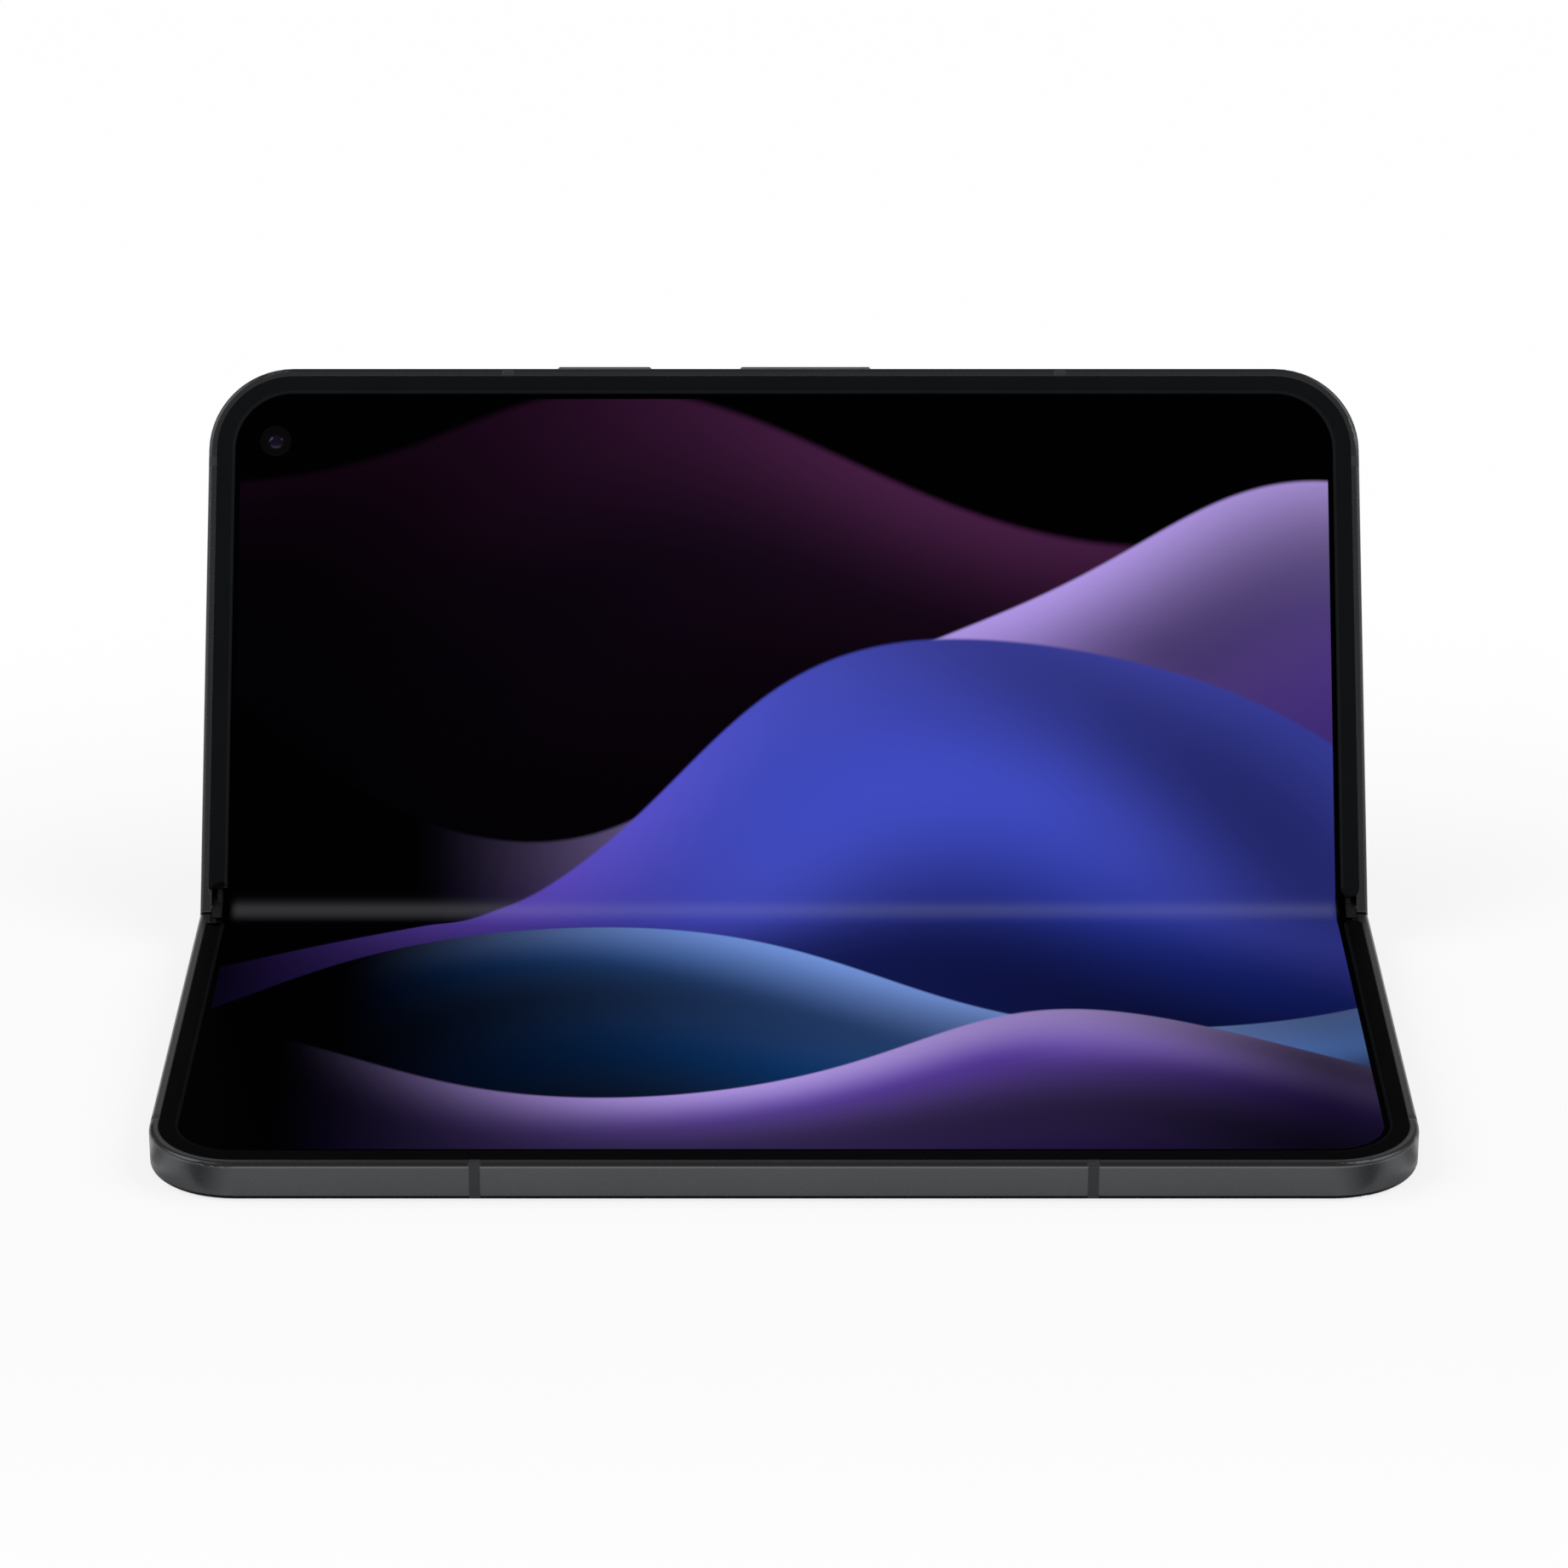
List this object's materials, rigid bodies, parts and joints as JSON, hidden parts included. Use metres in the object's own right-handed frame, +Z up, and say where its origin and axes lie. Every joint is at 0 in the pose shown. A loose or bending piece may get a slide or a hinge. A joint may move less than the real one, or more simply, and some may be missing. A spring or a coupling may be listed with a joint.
{
  "type": "foldable smartphone",
  "caption": "Book-style foldable smartphone, half open: two thin halves on a geared spine hinge share one flexible inner display.",
  "frame": {"origin": "centre of the base half's outer face, on which the phone stands", "axes": "+X along the hinge, from the camera end towards the USB-C end; -Y towards the viewer, from the hinge to the base's free edge; +Z up, out of the base's inner face"},
  "size_m": [0.1552, 0.1188, 0.0676],
  "materials": {
    "frame_metal": "dark grey anodised, fine blasted",
    "hinge_metal": "bright machined steel",
    "spine_metal": "dark grey anodised, satin",
    "black_plastic": "matte black moulded",
    "bezel_plastic": "matte charcoal",
    "antenna_plastic": "matte dark grey",
    "inner_display": "glossy flexible display, lit",
    "cover_glass": "polished black glass",
    "back_glass": "frosted dark glass",
    "lens_glass": "polished coated lens",
    "lens_ring": "turned rings",
    "flash_lens": "clear ribbed plastic",
    "battery": "foil pouch",
    "board": "solder mask",
    "copper": "bright",
    "can_metal": "thin drawn cans"
  },
  "bodies": {
    "base": {"base_frame": "frame_metal", "base_antenna_bands": "antenna_plastic", "base_bezel": "bezel_plastic", "inner_display_base": "inner_display", "display_plate_base": "hinge_metal", "cover_glass": "cover_glass", "cover_display_panel": "black_plastic", "cover_camera": "black_plastic", "base_battery": "battery", "base_boards": "board", "earpiece_speaker": "black_plastic", "base_speaker": "black_plastic", "vibration_motor": "can_metal", "sim_reader": "can_metal", "base_magnets": "hinge_metal", "base_screws": "hinge_metal", "rail_brackets_base": "hinge_metal", "sync_arms_base": "hinge_metal"},
    "spine": {"spine_cover": "spine_metal", "spine_end_caps": "spine_metal", "hinge_pins": "hinge_metal", "rail_guides": "hinge_metal", "inner_display_fold": "inner_display", "hinge_flex_cables": "copper"},
    "lid": {"lid_frame": "frame_metal", "lid_antenna_bands": "antenna_plastic", "lid_bezel": "bezel_plastic", "inner_display_lid": "inner_display", "display_plate_lid": "hinge_metal", "back_glass": "back_glass", "camera_island": "frame_metal", "rear_lens_rings": "lens_ring", "rear_lens_glasses": "lens_glass", "rear_camera_modules": "black_plastic", "flash_lens": "flash_lens", "flash_module": "copper", "lid_battery": "battery", "main_board": "board", "shield_cans": "can_metal", "wireless_coil": "copper", "inner_camera": "black_plastic", "usb_board": "board", "usb_port": "can_metal", "lid_speaker": "black_plastic", "power_switch": "copper", "volume_switch": "copper", "lid_magnets": "hinge_metal", "lid_screws": "hinge_metal", "rail_brackets_lid": "hinge_metal", "sync_arms_lid": "hinge_metal"},
    "base_wing": {"base_wing_plate": "hinge_metal"},
    "lid_wing": {"lid_wing_plate": "hinge_metal"},
    "idler_a": {"idler_gears_a": "copper"},
    "idler_b": {"idler_gears_b": "copper"},
    "power_button": {"power_button": "frame_metal"},
    "volume_rocker": {"volume_rocker": "frame_metal"},
    "sim_tray": {"sim_tray": "frame_metal", "sim_card": "copper"}
  },
  "joints": [
    {"name": "base_fold", "type": "hinge", "parent": "base", "child": "spine", "pos_m": [0, 0.03615, 0.00385], "axis": [1, 0, 0], "range_deg": [-28.65, 61.35], "deforming": ["inner_display_fold", "hinge_flex_cables"]},
    {"name": "lid_fold", "type": "hinge", "parent": "spine", "child": "lid", "pos_m": [0, 0.03861, 0.00519], "axis": [1, 0, 0], "range_deg": [-28.65, 61.35], "deforming": ["inner_display_fold", "hinge_flex_cables"]},
    {"name": "base_wing_tilt", "type": "hinge", "parent": "base", "child": "base_wing", "pos_m": [0, 0.02855, 0.00403], "axis": [-1, 0, 0], "range_deg": [-2.08, 4.44]},
    {"name": "lid_wing_tilt", "type": "hinge", "parent": "lid", "child": "lid_wing", "pos_m": [0, 0.04256, 0.01169], "axis": [1, 0, 0], "range_deg": [-2.08, 4.44]},
    {"name": "idler_a_turn", "type": "hinge", "parent": "spine", "child": "idler_a", "pos_m": [0, 0.03741, 0.00269], "axis": [1, 0, 0], "range_deg": [-28.65, 61.35]},
    {"name": "idler_b_turn", "type": "hinge", "parent": "spine", "child": "idler_b", "pos_m": [0, 0.03891, 0.00351], "axis": [-1, 0, 0], "range_deg": [-28.65, 61.35]},
    {"name": "power_press", "type": "slide", "parent": "lid", "child": "power_button", "axis": [0, -0.5402, -0.8415], "range_m": [0, 0.00025], "stiffness_N_per_m": 200},
    {"name": "volume_rock", "type": "hinge", "parent": "lid", "child": "volume_rocker", "pos_m": [0.0029, 0.07806, 0.06424], "axis": [0, -0.8415, 0.5402], "range_deg": [-1.2, 1.2], "stiffness_Nm_per_rad": 0.02},
    {"name": "sim_tray_slide", "type": "slide", "parent": "base", "child": "sim_tray", "axis": [1, 0, 0], "range_m": [0, 0.016]}
  ],
  "couplings": [
    {"joint": "lid_fold", "follows": "base_fold", "ratio": 1},
    {"joint": "base_wing_tilt", "follows": "base_fold", "ratio": 0.072222},
    {"joint": "lid_wing_tilt", "follows": "base_fold", "ratio": 0.072222},
    {"joint": "idler_a_turn", "follows": "base_fold", "ratio": 1},
    {"joint": "idler_b_turn", "follows": "base_fold", "ratio": 1}
  ]
}
